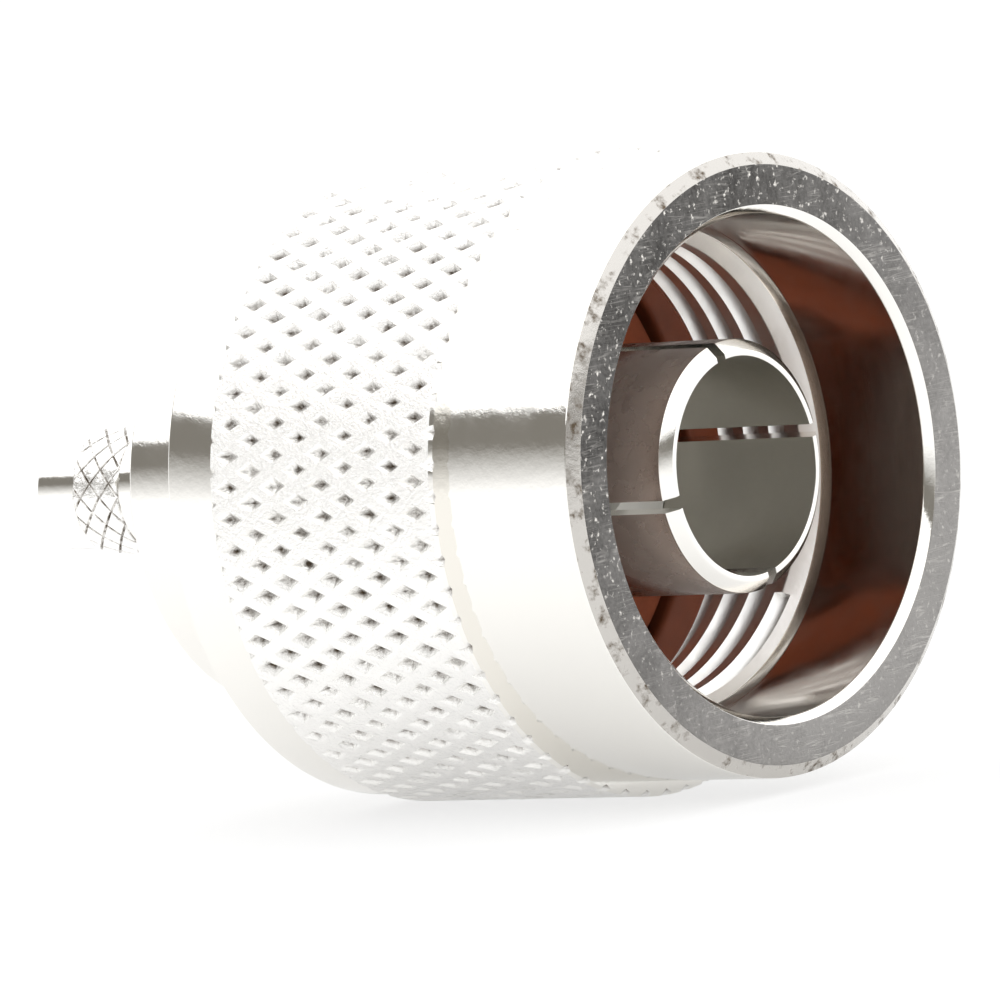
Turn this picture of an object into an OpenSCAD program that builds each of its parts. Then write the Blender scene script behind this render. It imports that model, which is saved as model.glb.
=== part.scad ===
// Screw-coupled coaxial plug for a thin cable: a knurled coupling nut turns on a body that
// carries the slotted outer contact, the insulator, the gasket and the crimp stem.
// The connector's axis is X and the mouth opens to +X. The origin is the centre of the outer
// contact's front edge, which is the plane where two connectors meet.

/* [Coupling nut] */
// Length of the nut
nut_length = 16.75; // [16.3:0.05:19]
// How far the nut's front face stands ahead of the outer contact
nut_lead = 1.1; // [0.6:0.05:1.5]
// Diameter over the knurl
knurl_d = 20.9; // [20.8:0.1:24]
// Diameter of the smooth band in front of the knurl
front_band_d = 19.9; // [18.6:0.1:20.3]
// Length of the smooth band in front of the knurl
front_band_length = 5.4; // [3:0.1:7]
// Diameter of the smooth band behind the knurl
rear_band_d = 20.4; // [18.6:0.1:20.4]
// Length of the smooth band behind the knurl
rear_band_length = 2.05; // [1:0.05:3]
// Width of the bevel around the front face
face_bevel = 0.42; // [0.1:0.02:0.6]
// Length of the bevel around the front face
face_bevel_length = 0.3; // [0.1:0.05:0.6]
// Number of ridges that wind each way around the knurl
knurl_teeth = 64; // [40:4:72]
// Number of half diamonds along the knurl
knurl_rows = 10; // [6:2:14]
// Depth of the knurl's pits
knurl_depth = 0.25; // [0.1:0.05:0.3]
// Bevel at each end of the knurl
knurl_bevel = 0.2; // [0.05:0.05:0.25]
// Bevel on the nut's rear edges
rear_bevel = 0.15; // [0.05:0.05:0.3]

/* [Mouth and thread] */
// Diameter of the smooth mouth in front of the thread
mouth_d = 16; // [15.9:0.05:16.4]
// Depth of the smooth mouth
mouth_depth = 4.1; // [3:0.1:4.6]
// Bevel on the lip of the mouth
lip_bevel = 0.27; // [0.1:0.01:0.5]
// Smallest diameter of the thread
thread_minor_d = 14.9; // [14.8:0.05:15.1]
// Largest diameter of the thread
thread_major_d = 15.875; // [15.6:0.025:15.9]
// Pitch of the thread
thread_pitch = 1.058; // [0.9:0.002:1.4]
// Number of thread grooves
thread_turns = 3; // [2:1:3]
// Width of the flat crest between two grooves
thread_crest = 0.5; // [0.3:0.02:0.7]
// Length of the bevel between the mouth and the thread
thread_bevel_length = 0.32; // [0.1:0.02:0.6]
// Length of the plain lead-in between that bevel and the thread's first groove
thread_lead_in = 0.68; // [0.3:0.02:0.8]
// Diameter of the relief behind the thread
relief_d = 15.95; // [15.9:0.05:16.6]

/* [Gasket] */
// Depth of the gasket's face behind the outer contact's front edge
gasket_depth = 9.05; // [8.6:0.05:9.4]
// Thickness of the gasket
gasket_thickness = 1.6; // [1.2:0.1:1.9]
// Hole through the gasket
gasket_hole_d = 10.4; // [9.6:0.1:12]
// Gap between the gasket and the relief around it
gasket_gap = 0.2; // [0.1:0.05:0.5]
// Rounding of the gasket's corners
gasket_corner = 0.2; // [0.05:0.05:0.4]

/* [Outer contact] */
// Bore of the outer contact
contact_bore_d = 7; // [6.8:0.05:7.1]
// Outside diameter of the slotted fingers
contact_d = 8.1; // [7.9:0.05:8.3]
// Number of slots
slot_count = 4; // [2:1:6]
// Width of each slot
slot_width = 0.42; // [0.2:0.02:0.8]
// Length of the slots
slot_length = 7; // [4:0.5:8]
// Angle of the first slot from +Y
slot_angle = 11; // [0:1:89]
// Width of the flat front edge
contact_edge = 0.18; // [0.1:0.02:0.25]
// Length of the bevel behind the flat front edge
contact_bevel_length = 0.3; // [0.1:0.05:0.6]
// Outside diameter of the root that is pressed into the body
contact_root_d = 9.2; // [9:0.1:9.5]
// How far the root stands out of the body
contact_root_proud = 0.6; // [0.2:0.1:1]
// Depth of the root's seat in the body
contact_seat_depth = 2.85; // [2.4:0.05:3.2]

/* [Insulator] */
// Depth of the insulator's face behind the outer contact's front edge
insulator_depth = 6.2; // [5.3:0.1:7.5]
// Hole for the centre contact
pin_hole_d = 3.06; // [2.4:0.02:3.2]
// Diameter of the insulator's rear collar
insulator_collar_d = 7.4; // [7.2:0.1:7.8]
// Length of the insulator's rear collar
insulator_collar_length = 3.4; // [2:0.1:3.8]

/* [Body] */
// Thickness of the flange that the nut pulls on
flange_thickness = 0.55; // [0.4:0.05:0.8]
// Diameter of the body behind the flange
body_d = 14.4; // [14:0.1:14.6]
// Distance from the outer contact's front edge to the body's rear face
body_rear_depth = 20; // [18.6:0.1:24]
// Bevel on the body's rear edge
body_bevel = 0.2; // [0.1:0.05:0.6]
// Diameter of the chamber behind the insulator
chamber_d = 4.6; // [3.6:0.1:6]
// Length of the chamber, without its conical end
chamber_length = 3; // [1:0.1:3.6]

/* [Crimp stem] */
// Diameter of the stem that the cable's braid goes over
stem_d = 4.3; // [4.25:0.05:5.4]
// Length of the stem, without its tip
stem_length = 6.9; // [5:0.1:10]
// Diameter of the smooth tip
tip_d = 3.84; // [3.5:0.02:3.94]
// Length of the smooth tip
tip_length = 1.7; // [1:0.05:3]
// Bore through the stem
stem_bore_d = 3.1; // [2.6:0.02:3.2]
// Bevel at the ends of the stem and of its tip
stem_bevel = 0.12; // [0.05:0.01:0.15]

/* [Retaining ring] */
// Distance from the nut's rear face to the middle of the ring
ring_inset = 1.9; // [1.6:0.05:2.1]
// Thickness of the ring along the axis
ring_thickness = 0.8; // [0.5:0.05:1]
// Width of the ring's band, from its inside to its outside
ring_band = 1.25; // [1:0.05:1.4]
// Split in the ring
ring_split = 3; // [1.5:0.1:5]
// How far the ring reaches into the nut
ring_grip = 0.4; // [0.25:0.05:0.5]

/* [Clearances] */
// Gap all round between the body and the nut that turns on it
running_gap = 0.05; // [0.02:0.01:0.1]
// Gap on each side of the flange and of the ring, along the axis
axial_gap = 0.1; // [0.05:0.01:0.2]
// Gap all round the ring in its grooves
ring_gap = 0.15; // [0.1:0.01:0.25]
// Gap all round a piece that is pressed into its seat
seat_gap = 0.02; // [0.01:0.005:0.04]

/* [Hidden] */
// Smoothness of the turned pieces, and how far a cut runs past what it cuts
turned_fn = 96;
past = 0.5;
// How far the knurl's sleeve sinks into the nut's wall
knurl_sink = 0.2;

// Radii
knurl_r = knurl_d / 2;
front_band_r = front_band_d / 2;
rear_band_r = rear_band_d / 2;
mouth_r = mouth_d / 2;
thread_minor_r = thread_minor_d / 2;
thread_major_r = thread_major_d / 2;
relief_r = relief_d / 2;
contact_bore_r = contact_bore_d / 2;
contact_r = contact_d / 2;
contact_root_r = contact_root_d / 2;
contact_seat_r = contact_root_r + seat_gap;
body_r = body_d / 2;
nut_bore_r = body_r + running_gap;
gasket_r = relief_r - gasket_gap;
ring_r = nut_bore_r + ring_grip;
ring_inner_r = ring_r - ring_band;
stem_r = stem_d / 2;
tip_r = tip_d / 2;
stem_bore_r = stem_bore_d / 2;
chamber_r = chamber_d / 2;
pin_hole_r = pin_hole_d / 2;
insulator_r = contact_bore_r - seat_gap;
insulator_collar_r = insulator_collar_d / 2;

// The nut's wall under the knurl, below the deepest pit and below both bands
knurl_seat_r = min(front_band_r, rear_band_r, knurl_r - knurl_depth) - knurl_sink;

// Places along the axis, from the front to the rear
nut_front = nut_lead;
nut_rear = nut_front - nut_length;
knurl_front = nut_front - front_band_length;
knurl_rear = nut_rear + rear_band_length;
mouth_end = nut_front - mouth_depth;
lead_in_front = mouth_end - thread_bevel_length;
thread_front = lead_in_front - thread_lead_in;
thread_rear = thread_front - thread_turns * thread_pitch;
gasket_front = -gasket_depth;
flange_front = gasket_front - gasket_thickness;
flange_rear = flange_front - flange_thickness;
nut_shoulder = flange_rear - axial_gap;
contact_root_front = flange_front + contact_root_proud;
contact_seat_end = flange_front - contact_seat_depth;
insulator_front = -insulator_depth;
insulator_collar_front = contact_seat_end + insulator_collar_length;
ring_middle = nut_rear + ring_inset;
ring_room = ring_thickness / 2 + axial_gap;
chamber_end = contact_seat_end - chamber_length;
body_rear = -body_rear_depth;
stem_rear = body_rear - stem_length;
tip_rear = stem_rear - tip_length;

// Half of a thread groove's width where it opens on the thread's smallest diameter
groove_half = (thread_pitch - thread_crest) / 2;

// A solid of revolution about X. Each point is [radius, place along X].
module turned(profile) {
    rotate([0, 90, 0]) rotate_extrude($fn = turned_fn) polygon(profile);
}

// A diamond knurl on a sleeve about X. Crossings of ridges and pits take turns along every row
// and column of a net, and each four-sided cell of the net is split along the ridge that crosses
// it. The end rows are lower, as a bevel. Two lines of crossings straddle the lowest line.
module diamond_knurl(r, seat_r, depth, bevel, teeth, rows, front, rear) {
    columns = 2 * teeth;
    function ring(x, radii) = [
        for (column = [0 : columns - 1])
            let (angle = (column + 0.5) * 360 / columns, radius = radii[column % 2])
                [x, radius * cos(angle), radius * sin(angle)]
    ];
    function row_radii(row) =
        row == 0 || row == rows ? [r - bevel, r - bevel] : row % 2 == 0 ? [r, r - depth] : [r - depth, r];
    function corner(row, column) = row * columns + column % columns;
    function cell(a, b, c, d, split) = split ? [[a, c, b], [a, d, c]] : [[a, d, b], [b, d, c]];
    function band(below, above, striped) = [
        for (column = [0 : columns - 1])
            each cell(
                corner(below, column), corner(below, column + 1),
                corner(above, column + 1), corner(above, column),
                !striped || (below + column) % 2 == 0
            )
    ];
    points = [
        for (row = [0 : rows]) each ring(rear + row * (front - rear) / rows, row_radii(row)),
        each ring(rear, [seat_r, seat_r]),
        each ring(front, [seat_r, seat_r])
    ];
    faces = [
        for (row = [0 : rows - 1]) each band(row, row + 1, true),
        each band(rows + 1, 0, false),
        each band(rows, rows + 2, false),
        each band(rows + 2, rows + 1, false)
    ];
    polyhedron(points, faces);
}

// One thread groove, as the points that the nut's inside runs through from rear to front
function thread_groove(middle) = [
    [thread_minor_r, middle - groove_half],
    [thread_major_r, middle],
    [thread_minor_r, middle + groove_half]
];

function thread_profile() = [
    for (turn = [thread_turns - 1 : -1 : 0])
        each thread_groove(thread_front - (turn + 0.5) * thread_pitch)
];

function nut_outside() = [
    [front_band_r - face_bevel, nut_front],
    [front_band_r, nut_front - face_bevel_length],
    [front_band_r, knurl_front],
    [knurl_seat_r, knurl_front],
    [knurl_seat_r, knurl_rear],
    [rear_band_r, knurl_rear],
    [rear_band_r, nut_rear + rear_bevel],
    [rear_band_r - rear_bevel, nut_rear]
];

function nut_inside() = concat(
    [
        [nut_bore_r + rear_bevel, nut_rear],
        [nut_bore_r, nut_rear + rear_bevel],
        [nut_bore_r, ring_middle - ring_room],
        [ring_r + ring_gap, ring_middle - ring_room],
        [ring_r + ring_gap, ring_middle + ring_room],
        [nut_bore_r, ring_middle + ring_room],
        [nut_bore_r, nut_shoulder],
        [relief_r, nut_shoulder],
        [relief_r, thread_rear],
        [thread_minor_r, thread_rear]
    ],
    thread_profile(),
    [
        [thread_minor_r, lead_in_front],
        [mouth_r, mouth_end],
        [mouth_r, nut_front - lip_bevel],
        [mouth_r + lip_bevel, nut_front]
    ]
);

module coupling_nut() {
    color("#d9d9d6") {
        turned(concat(nut_outside(), nut_inside()));
        diamond_knurl(
            knurl_r, knurl_seat_r - knurl_sink, knurl_depth, knurl_bevel, knurl_teeth, knurl_rows,
            knurl_front, knurl_rear
        );
    }
}

// Split spring ring that sits half in the body's groove and half in the nut's
module retaining_ring() {
    color("#b9b5a8") difference() {
        turned([
            [ring_inner_r, ring_middle - ring_thickness / 2],
            [ring_r, ring_middle - ring_thickness / 2],
            [ring_r, ring_middle + ring_thickness / 2],
            [ring_inner_r, ring_middle + ring_thickness / 2]
        ]);
        translate([ring_middle - ring_thickness / 2 - past, -ring_split / 2, ring_inner_r - past])
            cube([ring_thickness + 2 * past, ring_split, ring_band + 2 * past]);
    }
}

function body_outside() = [
    [gasket_r, flange_front],
    [gasket_r, flange_rear],
    [body_r, flange_rear],
    [body_r, ring_middle + ring_room],
    [ring_inner_r - ring_gap, ring_middle + ring_room],
    [ring_inner_r - ring_gap, ring_middle - ring_room],
    [body_r, ring_middle - ring_room],
    [body_r, body_rear + body_bevel],
    [body_r - body_bevel, body_rear],
    [stem_r, body_rear],
    [stem_r, stem_rear + stem_bevel],
    [stem_r - stem_bevel, stem_rear],
    [tip_r, stem_rear],
    [tip_r, tip_rear + stem_bevel],
    [tip_r - stem_bevel, tip_rear]
];

function body_inside() = [
    [stem_bore_r, tip_rear],
    [stem_bore_r, chamber_end - (chamber_r - stem_bore_r)],
    [chamber_r, chamber_end],
    [chamber_r, contact_seat_end],
    [contact_seat_r, contact_seat_end],
    [contact_seat_r, flange_front]
];

module body() {
    color("#d2d0ca") turned(concat(body_outside(), body_inside()));
}

module gasket() {
    color("#a03f22") turned([
        [gasket_hole_d / 2 + gasket_corner, gasket_front],
        [gasket_r - gasket_corner, gasket_front],
        [gasket_r, gasket_front - gasket_corner],
        [gasket_r, flange_front],
        [gasket_hole_d / 2, flange_front],
        [gasket_hole_d / 2, gasket_front - gasket_corner]
    ]);
}

function contact_profile() = [
    [contact_bore_r, 0],
    [contact_bore_r + contact_edge, 0],
    [contact_r, -contact_bevel_length],
    [contact_r, contact_root_front],
    [contact_root_r, contact_root_front],
    [contact_root_r, contact_seat_end],
    [insulator_collar_r + seat_gap, contact_seat_end],
    [insulator_collar_r + seat_gap, insulator_collar_front],
    [contact_bore_r, insulator_collar_front]
];

module outer_contact() {
    color("#cfcdc8") difference() {
        turned(contact_profile());
        for (slot = [0 : slot_count - 1])
            rotate([slot_angle + slot * 360 / slot_count, 0, 0])
                translate([-slot_length, 0, -slot_width / 2])
                    cube([slot_length + past, contact_r + past, slot_width]);
    }
}

module insulator() {
    color("#f4f2ec") turned([
        [pin_hole_r, insulator_front],
        [insulator_r, insulator_front],
        [insulator_r, insulator_collar_front],
        [insulator_collar_r, insulator_collar_front],
        [insulator_collar_r, contact_seat_end],
        [pin_hole_r, contact_seat_end]
    ]);
}

coupling_nut();
retaining_ring();
body();
gasket();
outer_contact();
insulator();
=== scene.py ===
"""Looks of a screw-coupled coaxial plug: a diamond-knurled coupling nut on a turned body, with a
slotted outer contact, a rubber gasket, an insulator and a retaining ring."""

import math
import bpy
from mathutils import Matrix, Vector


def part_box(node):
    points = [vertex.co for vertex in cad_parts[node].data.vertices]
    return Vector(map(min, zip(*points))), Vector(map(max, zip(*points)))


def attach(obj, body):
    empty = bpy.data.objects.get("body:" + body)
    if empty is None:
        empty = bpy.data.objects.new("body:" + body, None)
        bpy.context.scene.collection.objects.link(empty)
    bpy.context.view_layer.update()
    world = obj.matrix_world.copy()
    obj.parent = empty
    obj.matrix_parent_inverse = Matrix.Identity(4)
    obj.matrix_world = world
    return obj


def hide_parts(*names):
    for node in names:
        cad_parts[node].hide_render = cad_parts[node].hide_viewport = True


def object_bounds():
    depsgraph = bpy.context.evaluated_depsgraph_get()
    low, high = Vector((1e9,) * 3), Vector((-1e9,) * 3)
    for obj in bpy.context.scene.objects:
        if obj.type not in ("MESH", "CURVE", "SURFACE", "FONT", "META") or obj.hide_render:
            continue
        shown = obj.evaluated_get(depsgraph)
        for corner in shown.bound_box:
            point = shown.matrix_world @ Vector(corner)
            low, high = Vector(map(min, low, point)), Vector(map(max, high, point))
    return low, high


bl_info = {
    "name": "Coaxial Plug",
    "version": (1, 0, 0),
    "blender": (4, 5, 0),
    "location": "View3D > Sidebar > Coaxial Plug",
    "description": "Models and finishes a knurled screw-coupled coaxial plug",
    "category": "Object",
}

import bpy
from bpy.props import FloatProperty, FloatVectorProperty, IntProperty, PointerProperty
from mathutils import Quaternion, Vector

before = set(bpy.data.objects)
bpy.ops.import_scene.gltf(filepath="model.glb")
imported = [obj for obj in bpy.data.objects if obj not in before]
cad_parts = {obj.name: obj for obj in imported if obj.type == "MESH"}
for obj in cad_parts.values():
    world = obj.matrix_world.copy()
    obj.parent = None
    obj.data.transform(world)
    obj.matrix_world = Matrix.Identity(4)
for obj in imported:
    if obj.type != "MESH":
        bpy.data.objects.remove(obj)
cad_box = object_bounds()

MM = 0.001
WELD = 0.001 * MM
FULL_TURN = 2 * math.pi
LATHE_STEPS = 256
SHARP_ANGLE = math.radians(32)

nut_low, nut_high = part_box("coupling_nut")
body_low, body_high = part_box("body")
gasket_low, gasket_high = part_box("gasket")
contact_low, contact_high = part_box("outer_contact")


# ---------------------------------------------------------------- sizes and colours


def length(name, description, default):
    """A size in metres that the sidebar shows."""
    return FloatProperty(name=name, description=description, default=default, unit="LENGTH", precision=5)


def colour(name, description, default):
    """A colour that the sidebar shows."""
    return FloatVectorProperty(
        name=name, description=description, default=default, subtype="COLOR", min=0.0, max=1.0
    )


def angle(name, description, degrees):
    """An angle that the sidebar shows."""
    return FloatProperty(
        name=name, description=description, default=math.radians(degrees), subtype="ANGLE"
    )


class PlugNutSizes(bpy.types.PropertyGroup):
    """Sizes of the coupling nut, apart from its knurl and its thread."""

    front_band: length("Front band", "Diameter of the smooth band in front of the knurl", 19.9 * MM)
    front_band_length: length("Front band length", "Length of that band", 5.4 * MM)
    rear_band: length("Rear band", "Diameter of the smooth band behind the knurl", 20.4 * MM)
    rear_band_length: length("Rear band length", "Length of that band", 2.05 * MM)
    face_bevel: length("Face bevel", "Width of the bevel around the front face", 0.42 * MM)
    face_bevel_length: length("Face bevel length", "Length of that bevel", 0.3 * MM)
    rear_bevel: length("Rear bevel", "Bevel on the rear edges", 0.15 * MM)
    lip_bevel: length("Lip bevel", "Bevel on the lip of the mouth", 0.27 * MM)
    mouth: length("Mouth", "Diameter of the smooth mouth", 16.0 * MM)
    mouth_depth: length("Mouth depth", "Depth of the smooth mouth", 4.1 * MM)
    relief: length("Relief", "Diameter of the relief behind the thread", 15.95 * MM)
    bore: length("Bore", "Diameter of the bore that turns on the body", 14.5 * MM)
    play: length("Play", "Play along the axis between the nut's shoulder and the flange", 0.1 * MM)
    ring_front: length("Ring groove front", "Front of the ring's groove, from the rear face", 2.4 * MM)
    ring_rear: length("Ring groove rear", "Rear of the ring's groove, from the rear face", 1.4 * MM)
    ring_depth: length("Ring groove depth", "Depth of the ring's groove", 0.55 * MM)
    edge: length("Edge", "Rounding of the turned edges", 0.035 * MM)


class PlugThreadSizes(bpy.types.PropertyGroup):
    """Sizes of the nut's thread."""

    minor: length("Minor diameter", "Smallest diameter of the thread", 14.9 * MM)
    major: length("Major diameter", "Largest diameter of the thread", 15.875 * MM)
    pitch: length("Pitch", "Pitch of the right-hand helix", 1.058 * MM)
    crest: length("Crest", "Width of the flat crest between two grooves", 0.42 * MM)
    bevel: length("Bevel", "Height of the bevel behind the mouth", 0.15 * MM)
    bevel_length: length("Bevel length", "Length of that bevel", 0.3 * MM)
    lead_in: length("Lead-in", "Length of the cone between that bevel and the crests", 0.5 * MM)
    first: length("First groove", "Where the groove starts, behind the front face", 4.88 * MM)
    last: length("Thread end", "Where the thread ends, behind the front face", 8.27 * MM)
    start: angle("Start", "Where the groove starts, from +Z towards -Y", 230.0)


class PlugNutKnurl(bpy.types.PropertyGroup):
    """The diamond knurl on the nut: crossed flat lands with pits between them."""

    starts: IntProperty(name="Starts", description="Ridges that wind each way", default=64, min=8)
    pitch: length("Pitch", "Distance between pits along the axis", 1.93 * MM)
    land: length("Land", "Width of the flat lands", 0.34 * MM)
    depth: length("Depth", "Depth of the pits", 0.25 * MM)
    lip: length("Lip", "Width of the worn edge of a pit", 0.03 * MM)
    lip_depth: length("Lip depth", "Depth of that edge", 0.012 * MM)
    floor: length("Floor", "Width of the small floor of a pit", 0.05 * MM)
    bevel: length("Bevel", "Bevel at each end of the knurl", 0.1 * MM)
    first_row: length("First row", "First row of pits, behind the knurl's front end", 0.83 * MM)
    phase: angle("Phase", "Turn of the first row from the side of -Y", -25.0)
    rough: length("Irregularity", "How far the points of the pits stray", 0.03 * MM)


class PlugStemKnurl(bpy.types.PropertyGroup):
    """The knurl on the crimp stem: raised pads with fine grooves between them."""

    starts: IntProperty(name="Starts", description="Grooves that wind each way", default=14, min=6)
    pitch: length("Pitch", "Distance between pads along the axis", 0.83 * MM)
    band: length("Band", "Length of the knurled band at the stem's rear end", 2.0 * MM)
    groove: length("Groove", "Width of the floor of a groove", 0.02 * MM)
    side: length("Side", "Width of a pad's steep side", 0.04 * MM)
    crown: length("Crown", "Width of the rounding around a pad's top", 0.18 * MM)
    depth: length("Depth", "Depth of the grooves", 0.08 * MM)
    bevel: length("Bevel", "Bevel at each end of the knurl", 0.08 * MM)
    rough: length("Irregularity", "How far the edges of the pads stray", 0.012 * MM)


class PlugBodySizes(bpy.types.PropertyGroup):
    """Sizes of the turned body and its crimp stem."""

    flange_length: length("Flange length", "Thickness of the flange that the nut pulls on", 0.55 * MM)
    barrel: length("Barrel", "Diameter behind the flange", 14.4 * MM)
    barrel_end: length("Barrel end", "Depth of its rear face behind the reference plane", 20.0 * MM)
    barrel_bevel: length("Barrel bevel", "Bevel on the barrel's rear edge", 0.2 * MM)
    stem: length("Stem", "Diameter over the stem's knurl", 4.3 * MM)
    stem_length: length("Stem length", "Length of the stem", 6.9 * MM)
    neck: length("Neck", "Diameter of the smooth part of the stem", 4.2 * MM)
    under_knurl: length("Under the knurl", "How far the turned core lies under the knurl", 0.2 * MM)
    tip: length("Tip", "Diameter of the smooth tip", 3.84 * MM)
    bore: length("Bore", "Bore through the stem", 3.1 * MM)
    chamber: length("Chamber", "Chamber behind the insulator", 4.6 * MM)
    chamber_end: length("Chamber end", "Depth of the chamber's end behind the reference plane", 16.5 * MM)
    seat: length("Seat", "Seat of the outer contact", 9.24 * MM)
    seat_end: length("Seat end", "Depth of that seat's end behind the reference plane", 13.5 * MM)
    ring_front: length("Ring groove front", "Front of its groove, from the nut's rear face", 2.45 * MM)
    ring_rear: length("Ring groove rear", "Rear of its groove, from the nut's rear face", 1.35 * MM)
    ring_depth: length("Ring groove depth", "Depth of the ring's groove", 0.95 * MM)
    edge: length("Edge", "Rounding of the turned edges", 0.03 * MM)


class PlugContactSizes(bpy.types.PropertyGroup):
    """Sizes of the slotted outer contact."""

    bore: length("Bore", "Bore of the contact", 7.0 * MM)
    outside: length("Outside", "Diameter of the fingers", 8.1 * MM)
    front_edge: length("Front edge", "Width of the flat front edge", 0.18 * MM)
    bevel_length: length("Bevel length", "Length of the bevel behind that edge", 0.3 * MM)
    slots: IntProperty(name="Slot pairs", description="Pairs of opposite slots", default=2, min=1)
    slot_width: length("Slot width", "Width of each slot", 0.42 * MM)
    slot_length: length("Slot length", "Length of each slot", 7.0 * MM)
    slot_turn: angle("Slot turn", "Turn of the first slot from +Y", 11.0)
    root_length: length("Root length", "Length of the root in the body", 3.45 * MM)
    collar: length("Collar", "Bore for the insulator's collar", 7.44 * MM)
    collar_length: length("Collar length", "Length of that bore", 3.4 * MM)
    edge: length("Edge", "Rounding of the turned edges", 0.025 * MM)


class PlugGasketSizes(bpy.types.PropertyGroup):
    """Sizes of the rubber gasket."""

    hole: length("Hole", "Hole through the gasket", 10.4 * MM)
    corner: length("Corner", "Rounding of the front corners", 0.2 * MM)


class PlugFinish(bpy.types.PropertyGroup):
    """Colours of the finishes."""

    nickel: colour("Nickel", "Bright nickel plate", (0.90, 0.885, 0.85))
    bright_plate: colour("Bright plate", "Nickel plate on the knurls", (0.98, 0.97, 0.95))
    mouth: colour("Mouth", "Plate in the nut's mouth", (0.80, 0.765, 0.72))
    # This colour is dirt on the worn bevel, and painted shade in the recesses of the knurls.
    dirt_and_pit_shade: colour("Grime", "Dirt in the knurls", (0.13, 0.10, 0.07))
    worn_bevel: colour("Worn bevel", "The worn bevel around the nut's front face", (0.58, 0.56, 0.53))
    worn_face: colour("Worn face", "The dull front face of the nut", (0.30, 0.29, 0.28))
    dark_face: colour("Dark face", "Dark grain of that face", (0.035, 0.033, 0.031))
    bright_grain: colour("Bright grain", "Nicks and scratches of that face", (0.85, 0.82, 0.77))
    dull_bore: colour("Dull bore", "Plate in the bore of the outer contact", (0.52, 0.50, 0.45))
    tarnish: colour("Tarnish", "Tarnished outside of the outer contact", (0.40, 0.33, 0.29))
    rubber: colour("Rubber", "Silicone rubber of the gasket", (0.46, 0.115, 0.045))
    bronze: colour("Bronze", "Phosphor bronze of the retaining ring", (0.66, 0.50, 0.30))
    white_plastic: colour("Insulator", "White fluoropolymer of the insulator", (0.88, 0.87, 0.84))


class PlugStage(bpy.types.PropertyGroup):
    """Floor, light and camera."""

    floor: colour("Floor", "Colour of the floor", (0.96, 0.96, 0.955))
    glow: FloatProperty(
        name="Floor glow", description="Share of the floor that shows as plain white", default=0.72
    )
    mirrored_glow: FloatProperty(
        name="Mirrored glow", description="That share as the metal mirrors it", default=0.4
    )
    floor_size: length("Floor size", "Side of the square floor", 6.0)
    ceiling: FloatProperty(name="Ceiling", description="Brightness of the white ceiling", default=1.5)
    wall: colour("Wall", "Dark wall that the metal reflects", (0.235, 0.222, 0.198))
    wall_top: angle("Wall top", "Height of the dark wall above the horizon", 22.5)
    aim: FloatVectorProperty(
        name="Aim", description="The point that the camera looks at", unit="LENGTH",
        default=(-6.016 * MM, -5.135 * MM, -0.210 * MM)
    )
    azimuth: angle("Azimuth", "Direction of the camera around Z", -49.654)
    elevation: angle("Elevation", "Height of the camera above the horizon", 5.011)
    roll: angle("Roll", "Turn of the camera about its own axis", -6.393)
    distance: length("Distance", "Distance from the camera to the point that it looks at", 450.71 * MM)
    focal_length: FloatProperty(name="Focal length", description="Focal length in mm", default=510.88)


# ---------------------------------------------------------------- modelling


def deselect():
    """Leaves nothing selected, so that an operator acts on the new piece alone."""
    if bpy.context.mode != "OBJECT":
        bpy.ops.object.mode_set(mode="OBJECT")
    bpy.ops.object.select_all(action="DESELECT")


def take(piece):
    """Makes a piece the only one selected."""
    deselect()
    piece.select_set(True)
    bpy.context.view_layer.objects.active = piece


def named(name):
    """Names the piece that was just added."""
    piece = bpy.context.object
    piece.name = name
    piece.data.name = name
    return piece


def draw_section(name, points, closed=True, edge=0.0):
    """Draws an outline of (place along X, radius) points, with rounded corners, for the lathe."""
    deselect()
    bpy.ops.mesh.primitive_plane_add(size=MM)
    piece = named(name)
    bpy.ops.object.mode_set(mode="EDIT")
    bpy.ops.mesh.select_mode(type="VERT")
    bpy.ops.mesh.select_all(action="SELECT")
    bpy.ops.mesh.merge(type="CENTER")
    route = points + points[:1] if closed else points
    bpy.ops.transform.translate(value=(route[0][0], 0.0, route[0][1]))
    for here, there in zip(route, route[1:]):
        step = (there[0] - here[0], 0.0, there[1] - here[1])
        bpy.ops.mesh.extrude_region_move(TRANSFORM_OT_translate={"value": step})
    bpy.ops.mesh.select_all(action="SELECT")
    bpy.ops.mesh.remove_doubles(threshold=WELD)
    if edge:
        round_section(piece, edge)
    return piece


def round_section(piece, edge):
    """Rounds every corner of a drawn outline that has an edge on both sides."""
    bpy.ops.object.mode_set(mode="OBJECT")
    ends = {}
    for line in piece.data.edges:
        for vertex in line.vertices:
            ends[vertex] = ends.get(vertex, 0) + 1
    for vertex in piece.data.vertices:
        vertex.select = ends[vertex.index] == 2
    bpy.ops.object.mode_set(mode="EDIT")
    bpy.ops.mesh.bevel(
        offset=edge, offset_type="OFFSET", segments=3, affect="VERTICES", clamp_overlap=True
    )


def turn(piece, steps=LATHE_STEPS):
    """Spins a drawn outline about X."""
    bpy.ops.mesh.select_all(action="SELECT")
    bpy.ops.mesh.spin(steps=steps, angle=FULL_TURN, center=(0, 0, 0), axis=(1, 0, 0))
    bpy.ops.mesh.select_all(action="SELECT")
    bpy.ops.mesh.remove_doubles(threshold=WELD)
    bpy.ops.mesh.normals_make_consistent(inside=False)
    bpy.ops.object.mode_set(mode="OBJECT")
    return piece


def add_modifier(piece, kind, **settings):
    """Adds a modifier and applies it."""
    take(piece)
    modifier = piece.modifiers.new(kind.title(), kind)
    for key, value in settings.items():
        setattr(modifier, key, value)
    bpy.ops.object.modifier_apply(modifier=modifier.name)


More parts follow.
